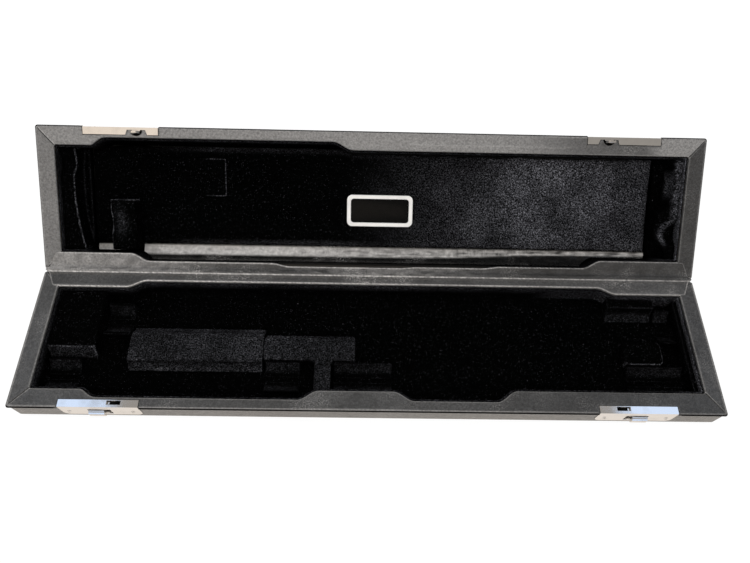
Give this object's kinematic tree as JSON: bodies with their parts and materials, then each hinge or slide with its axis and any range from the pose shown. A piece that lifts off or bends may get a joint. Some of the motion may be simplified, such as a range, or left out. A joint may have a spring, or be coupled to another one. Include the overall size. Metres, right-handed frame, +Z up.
{
  "type": "flute case",
  "caption": "Hard flute case with a leather-covered tray and hinged lid, two sliding latches and a fitted plush interior.",
  "frame": {"origin": "centre of the tray's flat underside", "axes": "+X along the case from the left end to the right, +Y from the front with the latches to the hinge, +Z up"},
  "size_m": [0.43, 0.1826, 0.0817],
  "materials": {
    "leather": "satin",
    "plush": "matte",
    "wood": "matte",
    "chrome": "polished",
    "steel": "satin",
    "plate_silver": "satin",
    "plate_black": "gloss"
  },
  "bodies": {
    "tray": {"tray_bottom_board": "wood", "tray_front_rail": "wood", "tray_rear_rail": "wood", "tray_left_end": "wood", "tray_right_end": "wood", "tray_bottom_leather": "leather", "tray_side_leather": "leather", "tray_rim_leather": "leather", "tray_hinge_leather": "leather", "tray_wall_plush": "plush", "tray_bottom_plush": "plush", "tray_left_block": "plush", "foot_ridge": "plush", "centre_t_block": "plush", "barrel_divider": "plush", "barrel_rear_block": "plush", "right_end_pad": "plush", "tenon_saddle": "plush", "barrel_saddle": "plush", "foot_left_saddle": "plush", "foot_right_saddle": "plush", "head_left_saddle": "plush", "head_right_saddle": "plush", "hinge_tray_leaf": "steel", "hinge_pin": "steel", "hinge_screws": "steel", "left_latch_plate": "chrome", "right_latch_plate": "chrome", "detent_springs": "steel", "tray_latch_screws": "chrome"},
    "lid": {"lid_top_board": "wood", "lid_front_rail": "wood", "lid_rear_rail": "wood", "lid_left_end": "wood", "lid_right_end": "wood", "lid_top_leather": "leather", "lid_side_leather": "leather", "lid_rim_leather": "leather", "lid_hinge_leather": "leather", "lid_wall_plush": "plush", "lid_inner_plush": "plush", "lid_panel_board": "wood", "lid_panel_cushion": "plush", "lid_rear_cove": "leather", "lid_left_block": "plush", "lid_right_block": "plush", "tenon_hold_down": "plush", "foot_pad": "plush", "nameplate_frame": "plate_silver", "nameplate_field": "plate_black", "hinge_lid_leaf": "steel", "left_lid_plate": "chrome", "right_lid_plate": "chrome", "left_hook": "steel", "right_hook": "steel", "lid_latch_screws": "chrome"},
    "left_latch": {"left_slider": "chrome", "left_bolt": "steel"},
    "right_latch": {"right_slider": "chrome", "right_bolt": "steel"}
  },
  "joints": [
    {"name": "lid_hinge", "type": "hinge", "parent": "tray", "child": "lid", "pos_m": [0, 0.04615, 0.0203], "axis": [1, 0, 0], "range_deg": [0, 141.15]},
    {"name": "left_latch_slide", "type": "slide", "parent": "tray", "child": "left_latch", "axis": [1, 0, 0], "range_m": [0, 0.0032]},
    {"name": "right_latch_slide", "type": "slide", "parent": "tray", "child": "right_latch", "axis": [-1, 0, 0], "range_m": [0, 0.0032]}
  ]
}
